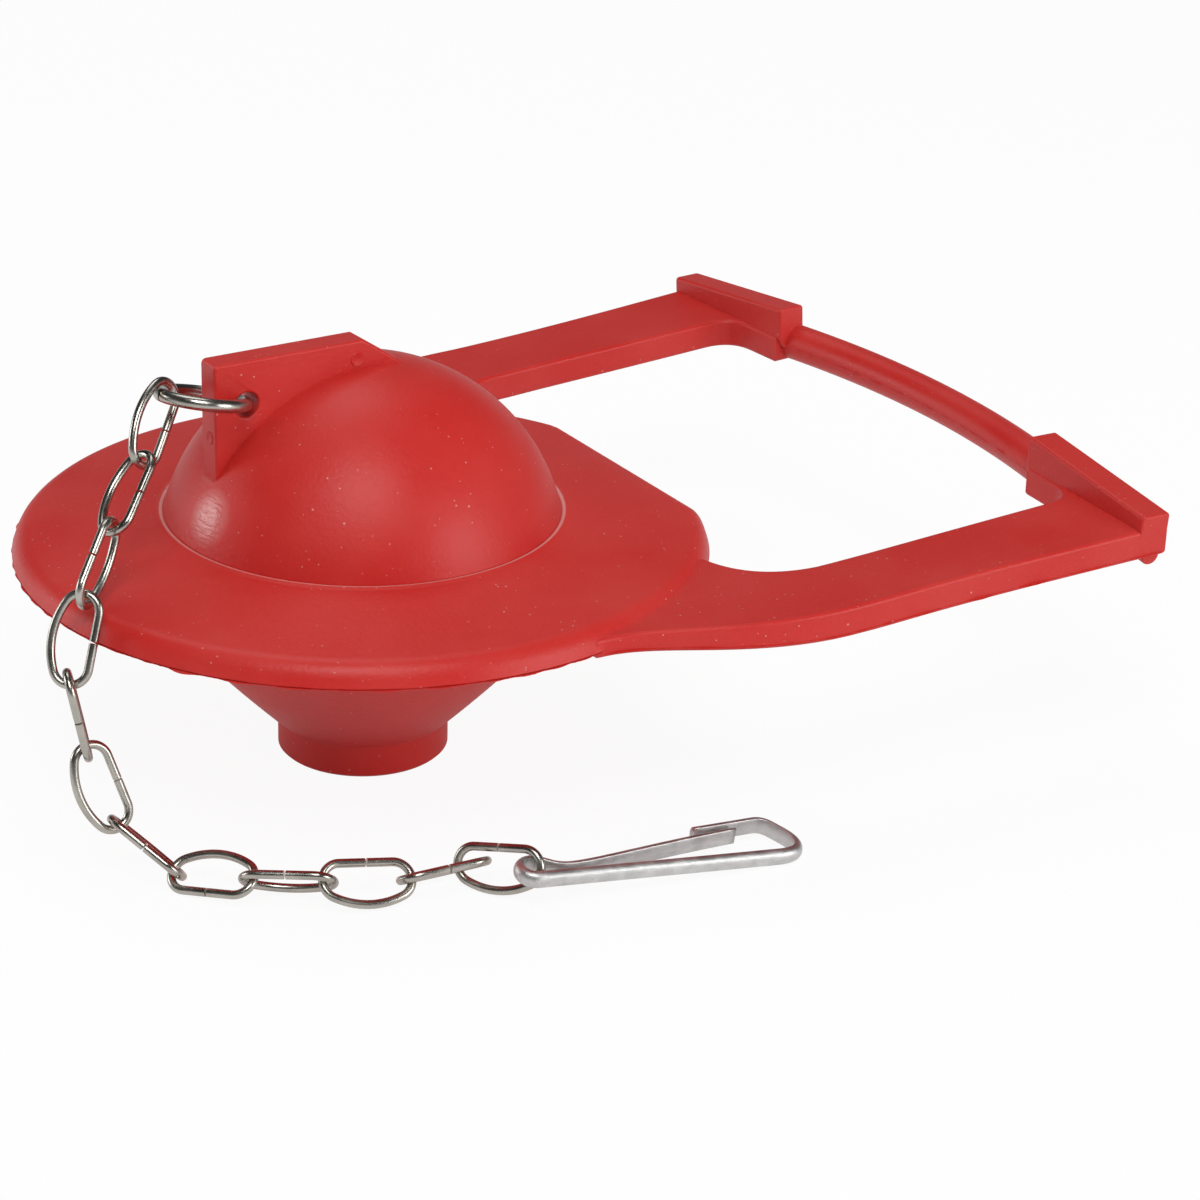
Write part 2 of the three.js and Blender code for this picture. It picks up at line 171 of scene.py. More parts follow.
def plain_mesh(obj, name):
    """The evaluated object as a plain mesh; the working object goes."""
    bpy.context.view_layer.update()
    graph = bpy.context.evaluated_depsgraph_get()
    mesh = bpy.data.meshes.new_from_object(obj.evaluated_get(graph))
    mesh.name = name
    bpy.data.objects.remove(obj)
    return mesh


def working(name, bm):
    """A working object with the bmesh as its mesh."""
    mesh = bpy.data.meshes.new(name)
    bm.to_mesh(mesh)
    bm.free()
    obj = bpy.data.objects.new(name, mesh)
    bpy.context.scene.collection.objects.link(obj)
    return obj


def add_turned(bm, profile, segments):
    """A closed profile of (radius, height), from axis to axis, turned about Z."""
    turns = [2 * math.pi * i / segments for i in range(segments)]
    rings = []
    for r, z in profile:
        if r < ON_AXIS:
            rings.append([bm.verts.new((0, 0, z))])
        else:
            rings.append([bm.verts.new((r * math.cos(t), r * math.sin(t), z)) for t in turns])
    for a, b in zip(rings, rings[1:]):
        for i in range(segments):
            j = (i + 1) % segments
            if len(a) == 1:
                bm.faces.new((a[0], b[j], b[i]))
            elif len(b) == 1:
                bm.faces.new((a[i], a[j], b[0]))
            else:
                bm.faces.new((a[i], a[j], b[j], b[i]))


def long_edge(edge):
    """Whether an edge runs round one end of a prism, between its end face and its side."""
    level = abs(edge.verts[0].co.z - edge.verts[1].co.z) < SAME_LEVEL
    return len(edge.link_faces) == 2 and edge.calc_face_angle(0) > EDGE_TURN and level


def prism(outline, low, high, bevel=0.0, move=None, holes=(), cuts=()):
    """A flat outline of (x, y) between two levels, its long edges rounded.

    It is cut across at each x of cuts, so that it can bend there, and then moved point by point.
    """
    part = bmesh.new()
    loops = []
    for pts in (outline, *holes):
        vs = [part.verts.new((x, y, low)) for x, y in pts]
        loops.append([part.edges.new((vs[i], vs[(i + 1) % len(vs)])) for i in range(len(vs))])
    if holes:
        bmesh.ops.triangle_fill(part, use_beauty=True, edges=[e for l in loops for e in l])
    else:
        part.faces.new([e.verts[0] for e in loops[0]])
    ext = bmesh.ops.extrude_face_region(part, geom=part.faces[:])
    top = [v for v in ext["geom"] if isinstance(v, bmesh.types.BMVert)]
    bmesh.ops.translate(part, vec=(0, 0, high - low), verts=top)
    bmesh.ops.recalc_face_normals(part, faces=part.faces)
    if bevel:
        edges = [e for e in part.edges if long_edge(e)]
        bmesh.ops.bevel(part, geom=edges, offset=bevel, segments=4, profile=0.5, affect="EDGES")
    for x in cuts:
        whole = part.verts[:] + part.edges[:] + part.faces[:]
        bmesh.ops.bisect_plane(part, geom=whole, plane_co=(x, 0, 0), plane_no=(1, 0, 0))
    if move:
        for v in part.verts:
            v.co = move(v.co)
    bmesh.ops.recalc_face_normals(part, faces=part.faces)
    return part


def mirrored(bm):
    """The same shape on the -Y side."""
    other = bm.copy()
    for v in other.verts:
        v.co.y = -v.co.y
    bmesh.ops.reverse_faces(other, faces=other.faces)
    return other


def united(name, base, parts):
    """All the shapes joined into one skin, crisp where they meet."""
    obj = working(name + "_work", base)
    others = []
    for bm in parts:
        others.append(working(name + "_part", bm))
        mod = obj.modifiers.new("join", "BOOLEAN")
        mod.operation = "UNION"
        mod.solver = "EXACT"
        mod.object = others[-1]
    mesh = plain_mesh(obj, name)
    for other in others:
        bpy.data.objects.remove(other)
    return mesh


def even_normals(mesh, angle):
    """Large faces stay flat between their rounded edges; edges sharper than the angle stay creased."""
    for f in mesh.polygons:
        f.use_smooth = True
    mesh.set_sharp_from_angle(angle=angle)
    obj = bpy.data.objects.new("normals_work", mesh)
    bpy.context.scene.collection.objects.link(obj)
    mod = obj.modifiers.new("even", "WEIGHTED_NORMAL")
    mod.keep_sharp = True
    return plain_mesh(obj, mesh.name)


def bezier(points, steps):
    """Points along the curve of these control points, after its first one."""
    out = []
    for i in range(1, steps + 1):
        t = i / steps
        p = list(points)
        while len(p) > 1:
            p = [tuple(a + (b - a) * t for a, b in zip(u, v)) for u, v in zip(p, p[1:])]
        out.append(p[0])
    return out


def arc(cx, cy, r, start, end, steps):
    """Points (x, y) round a circle, from one angle to another."""
    turns = [start + (end - start) * i / steps for i in range(steps + 1)]
    return [(cx + r * math.cos(t), cy + r * math.sin(t)) for t in turns]


def add_swept(bm, path, section, side=Vector((0, 0, 1))):
    """A section of (across, outward) swept along a path; side is the direction across it."""
    rings = []
    n = len(path)
    for i, p in enumerate(path):
        t = (path[min(n - 1, i + 1)] - path[max(0, i - 1)]).normalized()
        out = side.cross(t).normalized()
        across = t.cross(out).normalized() * -1
        rings.append([bm.verts.new(p + across * a + out * b) for a, b in section])
    m = len(section)
    for a, b in zip(rings, rings[1:]):
        for i in range(m):
            bm.faces.new((a[i], a[(i + 1) % m], b[(i + 1) % m], b[i]))
    bm.faces.new(rings[0][::-1])
    bm.faces.new(rings[-1])


# ---------------------------------------------------------------- shader groups

def node_group(name, inputs, outputs):
    """A new shader group: its inputs with their values, and its outputs with their kinds."""
    tree = bpy.data.node_groups.new(name, "ShaderNodeTree")
    for label, value in inputs.items():
        socket = tree.interface.new_socket(label, in_out="INPUT", socket_type="NodeSocketFloat")
        socket.default_value = value
    for label, kind in outputs.items():
        tree.interface.new_socket(label, in_out="OUTPUT", socket_type=kind)
    return tree, tree.nodes.new("NodeGroupInput"), tree.nodes.new("NodeGroupOutput")


def feed(l, socket, value):
    """Sets a socket, or links it where the value is itself a socket."""
    if isinstance(value, bpy.types.NodeSocket):
        l.new(value, socket)
    else:
        socket.default_value = value


def worked(n, l, operation, *values, kind="ShaderNodeMath"):
    """What a maths node makes of its values, each a number or a socket."""
    node = n.new(kind)
    node.operation = operation
    for socket, value in zip(node.inputs, values):
        feed(l, socket, value)
    return node.outputs["Value" if operation in ("LENGTH", "DISTANCE") else 0]


def vectors(n, l, operation, *values):
    return worked(n, l, operation, *values, kind="ShaderNodeVectorMath")


def scaled(n, l, value, by):
    return worked(n, l, "MULTIPLY", value, by)


def ranged(n, l, value, low, high, to_low=0.0, to_high=1.0):
    """A value's range mapped to another, held at its ends."""
    r = n.new("ShaderNodeMapRange")
    keys = ("Value", "From Min", "From Max", "To Min", "To Max")
    for key, v in zip(keys, (value, low, high, to_low, to_high)):
        feed(l, r.inputs[key], v)
    return r.outputs["Result"]


def noised(n, l, place, scale, detail):
    """Noise over a place, of a scale and with finer detail in it."""
    tex = n.new("ShaderNodeTexNoise")
    tex.inputs["Detail"].default_value = detail
    l.new(place, tex.inputs["Vector"])
    feed(l, tex.inputs["Scale"], scale)
    return tex.outputs["Fac"]


def rgba(c):
    return (c[0], c[1], c[2], 1.0)


def blended(n, l, a, b, factor, kind="FLOAT"):
    """A value that goes from a to b."""
    mix = n.new("ShaderNodeMix")
    mix.data_type = kind
    for key, value in (("A", a), ("B", b), ("Factor", factor)):
        feed(l, mix.inputs[key], value)
    return mix.outputs["Result"]


def mixed(n, l, a, b, factor):
    """A colour that goes from a to b; a may be a socket."""
    start = a if isinstance(a, bpy.types.NodeSocket) else rgba(a)
    return blended(n, l, start, rgba(b), factor, kind="RGBA")


def shaders(n, l, factor, first, second):
    """Two shaders mixed by a factor."""
    mix = n.new("ShaderNodeMixShader")
    for socket, value in zip(mix.inputs, (factor, first, second)):
        l.new(value, socket)
    return mix.outputs[0]


def speck_group():
    """Fine specks scattered over a surface in patches, as a mask."""
    tree = bpy.data.node_groups.get("Specks")
    if tree:
        return tree
    inputs = {"Scale": 900.0, "Size": 0.14, "Patches": 0.5}
    tree, gi, go = node_group("Specks", inputs, {"Mask": "NodeSocketFloat"})
    n, l = tree.nodes, tree.links
    co = n.new("ShaderNodeTexCoord").outputs["Object"]
    cell = n.new("ShaderNodeTexVoronoi")
    cell.feature = "F1"
    l.new(co, cell.inputs["Vector"])
    l.new(gi.outputs["Scale"], cell.inputs["Scale"])
    # each cell's own random size keeps most of the specks tiny or absent
    own = n.new("ShaderNodeSeparateColor")
    l.new(cell.outputs["Color"], own.inputs["Color"])
    size = worked(n, l, "MULTIPLY", worked(n, l, "POWER", own.outputs[0], 2.5), gi.outputs["Size"])
    small = worked(n, l, "LESS_THAN", cell.outputs["Distance"], size)
    where = ranged(n, l, noised(n, l, co, 60.0, 3.0), gi.outputs["Patches"], 0.62)
    l.new(worked(n, l, "MULTIPLY", small, where), go.inputs["Mask"])
    return tree


def grain_group():
    """Fine uneven grain: a slow variation and a normal."""
    tree = bpy.data.node_groups.get("Grain")
    if tree:
        return tree
    inputs = {"Fine": 1500.0, "Slow": 90.0, "Strength": 0.1}
    outputs = {"Variation": "NodeSocketFloat", "Normal": "NodeSocketVector"}
    tree, gi, go = node_group("Grain", inputs, outputs)
    n, l = tree.nodes, tree.links
    co = n.new("ShaderNodeTexCoord").outputs["Object"]
    fine = noised(n, l, co, gi.outputs["Fine"], 4.0)
    slow = noised(n, l, co, gi.outputs["Slow"], 3.0)
    bump = n.new("ShaderNodeBump")
    bump.inputs["Distance"].default_value = 0.0002
    l.new(gi.outputs["Strength"], bump.inputs["Strength"])
    l.new(worked(n, l, "MULTIPLY_ADD", slow, 1.5, fine), bump.inputs["Height"])
    l.new(slow, go.inputs["Variation"])
    l.new(bump.outputs["Normal"], go.inputs["Normal"])
    return tree


def new_material(name):
    """An emptied material with one Principled shader: it, its nodes, its links and the shader."""
    mat = bpy.data.materials.get(name) or bpy.data.materials.new(name)
    mat.use_nodes = True
    n, l = mat.node_tree.nodes, mat.node_tree.links
    n.clear()
    out = n.new("ShaderNodeOutputMaterial")
    bsdf = n.new("ShaderNodeBsdfPrincipled")
    l.new(bsdf.outputs[0], out.inputs["Surface"])
    return mat, n, l, bsdf


def placed(nodes, tree, **values):
    """A group put into a material with its input values."""
    g = nodes.new("ShaderNodeGroup")
    g.node_tree = tree
    for k, v in values.items():
        g.inputs[k].default_value = v
    return g


def toned(c, by):
    """A colour made darker or lighter."""
    return [min(1, x * by) for x in c]


# ---------------------------------------------------------------- materials

# Smooth wrinkled mark under the front of the fin: middle, full and outer radius, in millimetres
WRINKLE_AT, WRINKLE_FULL, WRINKLE_OUTER = (-21.2, -3.1, 8.4), 1.2, 3.6

# Painted highlight line where the dome meets the disc: out from the dome's base, half width of its core and
# of its edge, in millimetres, and how pale it is
BASE_HIGHLIGHT_OUT, BASE_HIGHLIGHT_CORE, BASE_HIGHLIGHT_EDGE, BASE_HIGHLIGHT_PALE = 0.30, 0.08, 0.26, 0.42


def painted_base_highlight(n, l, co, up):
    """Mask of the painted highlight, a pale line painted on faces that look up."""
    reach = vectors(n, l, "LENGTH", vectors(n, l, "MULTIPLY", co, (1, 1, 0)))
    line_radius = bpy.context.scene.flapper_body.dome_base + BASE_HIGHLIGHT_OUT * MM
    off = worked(n, l, "ABSOLUTE", worked(n, l, "SUBTRACT", reach, line_radius))
    pale = ranged(n, l, off, BASE_HIGHLIGHT_EDGE * MM, BASE_HIGHLIGHT_CORE * MM, 0.0, BASE_HIGHLIGHT_PALE)
    return worked(n, l, "MULTIPLY", pale, ranged(n, l, up, 0.2, 0.6))


def wrinkles(n, l, co, near, normal):
    """A normal with flat folds near the wrinkled mark."""
    folds = noised(n, l, vectors(n, l, "MULTIPLY", co, (0.5, 0.5, 3.0)), 900.0, 1.0)
    bump = n.new("ShaderNodeBump")
    bump.inputs["Strength"].default_value = 0.6
    bump.inputs["Distance"].default_value = 0.22 * MM
    l.new(worked(n, l, "MULTIPLY", folds, near), bump.inputs["Height"])
    l.new(normal, bump.inputs["Normal"])
    return bump.outputs["Normal"]


def rubber_material():
    c = bpy.context.scene.flapper_colours
    mat, n, l, bsdf = new_material("red_rubber")
    grain = placed(n, grain_group(), Fine=1900.0, Slow=75.0, Strength=0.20)
    specks = placed(n, speck_group(), Scale=1300.0, Size=0.16, Patches=0.30)
    uneven = grain.outputs["Variation"]
    co = n.new("ShaderNodeTexCoord").outputs["Object"]
    facing = n.new("ShaderNodeSeparateXYZ")
    l.new(n.new("ShaderNodeNewGeometry").outputs["Normal"], facing.inputs[0])
    up = facing.outputs["Z"]
    between = [a * 0.45 + b * 0.55 for a, b in zip(c.rubber, c.rubber_pale_and_top_light)]
    tone = mixed(n, l, c.rubber, between, ranged(n, l, uneven, 0.36, 0.66))
    # painted light: faces that look up are made paler, as if lit from above
    tone = mixed(n, l, tone, c.rubber_pale_and_top_light, ranged(n, l, up, 0.6, 1.0, 0.0, 0.25))
    tone = mixed(n, l, tone, c.dust_and_highlight, scaled(n, l, specks.outputs["Mask"], 0.4))
    # painted highlight: a pale line round the dome's base, on faces that look up
    tone = mixed(n, l, tone, c.dust_and_highlight, painted_base_highlight(n, l, co, up))
    # the wrinkled mark is paler and smoother than the rubber round it
    away = vectors(n, l, "DISTANCE", co, mm(*WRINKLE_AT))
    near = ranged(n, l, away, WRINKLE_OUTER * MM, WRINKLE_FULL * MM)
    tone = mixed(n, l, tone, c.dust_and_highlight, scaled(n, l, near, 0.22))
    rough = blended(n, l, ranged(n, l, uneven, 0.3, 0.7, 0.40, 0.50), 0.20, near)
    l.new(tone, bsdf.inputs["Base Color"])
    l.new(rough, bsdf.inputs["Roughness"])
    l.new(wrinkles(n, l, co, near, grain.outputs["Normal"]), bsdf.inputs["Normal"])
    bsdf.inputs["Specular IOR Level"].default_value = 0.42
    bsdf.inputs["Sheen Weight"].default_value = 0.04
    bsdf.inputs["Sheen Roughness"].default_value = 0.5
    bsdf.inputs["Sheen Tint"].default_value = (1.0, 0.75, 0.75, 1.0)
    return mat


def metal_material(name, smooth, rough, **grain_values):
    """A metal with its grain and its range of roughness; its colour is still to be linked."""
    mat, n, l, bsdf = new_material(name)
    grain = placed(n, grain_group(), **grain_values)
    uneven = grain.outputs["Variation"]
    l.new(ranged(n, l, uneven, 0.3, 0.7, smooth, rough), bsdf.inputs["Roughness"])
    l.new(grain.outputs["Normal"], bsdf.inputs["Normal"])
    bsdf.inputs["Metallic"].default_value = 1.0
    return mat, n, l, bsdf, uneven


def steel_material():
    c = bpy.context.scene.flapper_colours.steel
    mat, n, l, bsdf, uneven = metal_material(
        "bright_steel_wire", 0.20, 0.32, Fine=2600.0, Slow=300.0, Strength=0.04)
    tone = mixed(n, l, toned(c, 0.80), c, ranged(n, l, uneven, 0.35, 0.6))
    l.new(tone, bsdf.inputs["Base Color"])
    return mat


def zinc_material():
    c = bpy.context.scene.flapper_colours.zinc
    mat, n, l, bsdf, uneven = metal_material(
        "dull_zinc_plating", 0.38, 0.50, Fine=4200.0, Slow=600.0, Strength=0.16)
    specks = placed(n, speck_group(), Scale=2400.0, Size=0.5, Patches=0.45)
    tone = mixed(n, l, toned(c, 0.86), toned(c, 1.06), ranged(n, l, uneven, 0.34, 0.62))
    tone = mixed(n, l, tone, toned(c, 0.6), scaled(n, l, specks.outputs["Mask"], 0.5))
    l.new(tone, bsdf.inputs["Base Color"])
    return mat


# ---------------------------------------------------------------- rubber body

# Steps round the float and the disc, and the angle in degrees over which an edge stays creased
BODY_SEGMENTS, CREASE = 240, 34

# Low bead round the base of the dome: (out, up) in millimetres
DOME_BEAD = ((0.12, 0.02), (0.34, 0.14), (0.58, 0.12), (0.78, -0.04), (1.1, -0.12))

# Rounded edge of the rim: shares of its width in from the edge, and of its height
RIM_EDGE = ((0.82, 0.975), (0.66, 0.93), (0.5, 0.85), (0.36, 0.74), (0.22, 0.58), (0.12, 0.40))
RIM_LIP = 0.25 * MM
# Fin, in millimetres
FIN_FRONT_X = -19.5
FIN_TOP_LENGTH = 18.6
FIN_BEVEL_X = 4.7
FIN_HOLE = (-15.5, 20.2, 1.45)
FIN_SINK = 1.2

# Arms on the +Y side, in millimetres
ROOT_X, FLARE_X, STRAIGHT_X = 7, 36, 46
ROOT_ANGLE, ROOT_SINK, ROOT_LIFT = 42.2, 1.8, 1.3
INNER_Y, OUTER_Y = 35.1, 46.3
INNER_SPREAD, SPREAD = 0.5, 2.2
WEB_RADIUS, WEB_LEDGE = 4, 0.25
TOP_Z, LEVEL_X = 2.1, 40
RISE_AT_DISC, RISE = 0.016, 0.042
ARM_CUTS = range(9, 79, 2)

# Round moulding marks: place, facing and radius, in millimetres; then their profile, in shares of
# the radius and heights in millimetres
MARKS = (
    ((-19.5, -0.3, 16.6), (-1, 0, 0), 0.75),
    ((-1.6, -1.7, 23.2), (0, -1, 0), 0.9),
)
MARK_PROFILE = ((0, 0.03), (0.6, 0.03), (0.78, 0.10), (0.92, 0.10), (1, 0), (1, -0.2), (0, -0.2))

# Flash round the rim runs between these angles, in degrees
FLASH_FROM, FLASH_TO, FLASH_STEP = 42, 318, 0.5

# Bars and the rod between them, in millimetres and degrees
BAR_WIDTH, BAR_HEIGHT, BAR_LENGTH = 3.9, 5.7, 22.8
BAR_AT = (78.2, 37.3, 6.5)
BAR_SKEW, BAR_DROOP = 3.5, 5.2
BAR_ROUND = 0.45
LUG_RADIUS, LUG_DROP, LUG_LENGTH = 1.2, 0.45, 2.6
ROD_RADIUS, ROD_Z, ROD_BACK, ROD_BOW, ROD_SEAT = 2.35, 2.4, 1.1, 3.1, 1.2


def dome(s):
    """Centre height and radius of the dome's sphere."""
    centre = s.dome_base_z + (s.dome_height ** 2 - s.dome_base ** 2) / (2 * s.dome_height)
    return centre, s.dome_base_z + s.dome_height - centre


def float_profile(s):
    """The float and the disc, outside and inside, from the top of the dome round to its inner top."""
    centre, radius = dome(s)
    neck = s.foot_z + s.foot_height
    start = math.asin((s.dome_base_z - centre) / radius)
    rim, k = s.rim_round, MM
    pts = [(0, centre + radius)] + arc(0, centre, radius, math.pi / 2, start, 34)[1:]
    pts += [(s.dome_base + out * k, s.dome_base_z + up * k) for out, up in DOME_BEAD]
    # nearly flat top of the disc, then the rim
    crest = s.disc_radius - rim
    fall = (s.dome_base_z - 0.05 * k - s.rim_height) / (crest - s.dome_base - 0.5 * k)
    pts += [(crest - d * k, s.rim_height + fall * d * k) for d in (9, 4.5)]
    pts += [(crest, s.rim_height)]
    pts += [(s.disc_radius - rim * a, s.rim_height * b) for a, b in RIM_EDGE]
    pts += [(s.disc_radius, RIM_LIP), (s.disc_radius - RIM_LIP, 0)]
    # cone and foot
    low = neck + 0.5 * k
    foot = s.foot_radius + 0.8 * k
    for i in range(19):
        t = 1 - i / 18
        swell = s.cone_bulge * math.sin(math.pi * t)
        pts.append((foot + (s.cone_top - foot) * t + swell * 0.7, low * (1 - t) - swell * 0.7))
    soft = 0.3 * k
    pts += [(s.foot_radius + 0.25 * k, neck + 0.15 * k), (s.foot_radius, neck - soft)]
    pts += [(s.foot_radius, s.foot_z + soft), (s.foot_radius - soft, s.foot_z)]
    # hollow, one wall inside the cone and the dome
    slope = (s.cone_top - foot) / -low
    inner = radius - s.shell
    at_disc = s.cone_top - s.shell * math.sqrt(1 + slope ** 2)
    a, b, c = 1 + slope ** 2, at_disc * slope - centre, at_disc ** 2 + centre ** 2 - inner ** 2
    meet = (-b + math.sqrt(max(0, b * b - a * c))) / a
    start = math.atan2(meet - centre, at_disc + slope * meet)
    pts += [(s.foot_bore, s.foot_z), (s.foot_bore, (s.foot_bore - at_disc) / slope)]
    pts += arc(0, centre, inner, start, math.pi / 2, 24)[:-1] + [(0, centre + inner)]
    return pts


def arm_lift(x):
    x /= MM
    return (TOP_Z + (x - LEVEL_X) * (RISE_AT_DISC if x < LEVEL_X else RISE)) * MM


def root_lift(x):
    """How much the underside of the arm is raised towards its root."""
    t = min(1, max(0, (x / MM - ROOT_X) / (FLARE_X - ROOT_X)))
    return ROOT_LIFT * MM * (1 - t * t * (3 - 2 * t))


def web_x(y):
    """Front face of the bar, where the web meets it."""
    return BAR_AT[0] - BAR_WIDTH / 2 - WEB_LEDGE + (BAR_AT[1] - y) * math.tan(math.radians(BAR_SKEW))


def arm_outline(s):
    """Plan of the arm on the +Y side: it leaves the rim along its edge and flares out."""
    r = s.disc_radius / MM
    root = (ROOT_X, math.sqrt(r * r - ROOT_X ** 2) - 0.25)
    turn = math.radians(ROOT_ANGLE)
    inside = ((r - 0.35) * math.cos(turn), (r - 0.35) * math.sin(turn))
    flare = FLARE_X - ROOT_X
    end = BAR_AT[0] + BAR_WIDTH * 0.3
    straight = end - STRAIGHT_X
    # outer edge, from the rim to the bar
    p = [root]
    p += bezier([root, (ROOT_X + flare * 0.28, r - 1.1), (ROOT_X + flare * 0.45, OUTER_Y - 0.6),
                 (FLARE_X, OUTER_Y)], 20)
    p += [(STRAIGHT_X, OUTER_Y + 0.15)]
    p += bezier([p[-1], (STRAIGHT_X + straight * 0.36, OUTER_Y + 0.4),
                 (STRAIGHT_X + straight * 0.72, OUTER_Y + SPREAD * 0.7), (end, OUTER_Y + SPREAD)], 12)
    # end under the bar, then the inner edge with its web back to the rim
    tip = BAR_AT[1] - BAR_LENGTH / 2 + 0.3
    skewed = end + (BAR_AT[1] - tip) * math.tan(math.radians(BAR_SKEW))
    p += [(end, BAR_AT[1]), (skewed, tip), (web_x(tip), tip)]
    inner = INNER_Y + INNER_SPREAD
    p += [(web_x(inner - WEB_RADIUS), inner - WEB_RADIUS)]
    p += bezier([p[-1], (web_x(inner), inner), (web_x(inner) - WEB_RADIUS, inner - 0.1)], 10)
    p += bezier([p[-1], (STRAIGHT_X + straight * 0.6, INNER_Y + INNER_SPREAD * 0.5),
                 (STRAIGHT_X + straight * 0.3, INNER_Y + 0.1), (STRAIGHT_X, INNER_Y)], 12)
    p += [(LEVEL_X - 1, INNER_Y - 0.2)]
    p += bezier([p[-1], (inside[0] + 3.6, INNER_Y - 0.8), (inside[0] + 0.9, INNER_Y - 4), inside], 16)
    p += arc(0, 0, r - ROOT_SINK, turn + math.radians(0.8), math.atan2(root[1], root[0]), 16)
    return [mm(*q) for q in p]


def arm(s):
    """Flared arm on the +Y side, rising from the disc to its bar."""
    thick = s.arm_thickness

    def move(c):
        under = root_lift(c.x) if c.z < -thick / 2 else 0
        return Vector((c.x, c.y, c.z + arm_lift(c.x) + under))

    cuts = [x * MM for x in ARM_CUTS]
    return prism(arm_outline(s)[::-1], -thick, 0, bevel=0.5 * MM, move=move, cuts=cuts)


def bar_lay():
    """Lays a prism that stands upright along the bar on the +Y side."""
    return (Matrix.Translation(mm(*BAR_AT))
            @ Matrix.Rotation(math.radians(BAR_SKEW), 4, "Z")
            @ Matrix.Rotation(math.radians(-BAR_DROOP), 4, "X")
            @ Matrix.Rotation(math.radians(90), 4, "X"))


def lug():
    """Short round lug under the outer end of the bar."""
    lay = bar_lay()
    low = -BAR_LENGTH / 2 * MM
    high = low + LUG_LENGTH * MM
    section = arc(0, LUG_DROP - BAR_HEIGHT, LUG_RADIUS, 0, 2 * math.pi, 28)[:-1]
    return prism([mm(*q) for q in section], low, high, bevel=0.2 * MM, move=lambda c: lay @ c)


def bar():
    """Bar on the +Y side, flat on top with a half-round bead below."""
    w, c = BAR_WIDTH / 2, BAR_ROUND
    section = arc(w - c, -c, c, 0, math.pi / 2, 4) + arc(-w + c, -c, c, math.pi / 2, math.pi, 4)
    section += arc(0, -BAR_HEIGHT + w, w, math.pi, 2 * math.pi, 22)
    lay = bar_lay()
    half = BAR_LENGTH / 2 * MM
    return prism([mm(*q) for q in section], -half, half, bevel=0.3 * MM, move=lambda c: lay @ c)


def rod_line(steps):
    """Middle of the rod, bowed away from the disc."""
    end = BAR_AT[1] - BAR_LENGTH / 2 + ROD_SEAT
    x = BAR_AT[0] + ROD_BACK + math.tan(math.radians(BAR_SKEW)) * (BAR_LENGTH / 2 - ROD_SEAT)
    shares = [i / steps for i in range(steps + 1)]
    return [Vector(mm(x + ROD_BOW * 4 * t * (1 - t), (2 * t - 1) * end, ROD_Z)) for t in shares]


def rod():
    """Slightly bowed rod between the bars."""
    bm = bmesh.new()
    section = arc(0, 0, ROD_RADIUS, 0, 2 * math.pi, 40)[:-1]
    add_swept(bm, rod_line(60), [mm(*q) for q in section])
    bmesh.ops.recalc_face_normals(bm, faces=bm.faces)
    return bm


def fin(s):
    """Upright plate on the dome with the hole for the chain's ring."""
    centre, radius = dome(s)

    def on_dome(x, sink):
        return centre / MM + math.sqrt((radius / MM - sink) ** 2 - x * x)

    top = s.fin_top / MM
    side = [(FIN_FRONT_X, on_dome(FIN_FRONT_X, FIN_SINK)), (FIN_FRONT_X, top - 0.5)]
    side += [(FIN_FRONT_X + 0.15, top - 0.15), (FIN_FRONT_X + 0.5, top)]
    side += [(FIN_FRONT_X + FIN_TOP_LENGTH, top), (FIN_BEVEL_X, on_dome(FIN_BEVEL_X, 0.2))]
    side += [(x, on_dome(x, FIN_SINK)) for x in (FIN_BEVEL_X, 2, -2, -6, -10, -14, -17)]
    x, z, r = FIN_HOLE
    hole = [mm(*q) for q in arc(x, z, r, 0, 2 * math.pi, 40)[:-1]]
    t = s.fin_thickness / 2
    upright = lambda c: Vector((c.x, -c.z, c.y))
    return prism([mm(*q) for q in side[::-1]], -t, t, bevel=0.3 * MM, holes=[hole], move=upright)


def add_flash(bm, line, outward, seed, most=0.35, height=0.09):
    """Ragged thin moulding flash that stands out from a line; most is its widest in millimetres."""
    rows = []
    for i, (p, out) in enumerate(zip(line, outward)):
        slow = noise.noise(Vector((i * 0.11, seed, 0)))
        quick = noise.noise(Vector((i * 0.47, seed, 5)))
        wide = 0.05 + most * max(0.0, slow + 0.15) + 0.25 * most * abs(quick)
        a, b = p - out * 0.3 * MM, p + out * wide * MM
        up = Vector((0, 0, height * MM))
        rows.append([bm.verts.new(q) for q in (a, b, b + up * 0.6, a + up)])
    for a, b in zip(rows, rows[1:]):
        for i in range(4):
            bm.faces.new((a[i], a[(i + 1) % 4], b[(i + 1) % 4], b[i]))
    bm.faces.new(rows[0])
    bm.faces.new(rows[-1][::-1])


def add_mark(bm, place, facing, radius):
    """Low round moulding mark that stands a hair proud of a face."""
    part = bmesh.new()
    add_turned(part, [(radius * share, up * MM) for share, up in MARK_PROFILE], 28)
    part.transform(Matrix.Translation(place) @ facing.to_track_quat("Z", "Y").to_matrix().to_4x4())
    bmesh.ops.recalc_face_normals(part, faces=part.faces)
    mesh = bpy.data.meshes.new("mark")
    part.to_mesh(mesh)
    part.free()
    bm.from_mesh(mesh)
    bpy.data.meshes.remove(mesh)


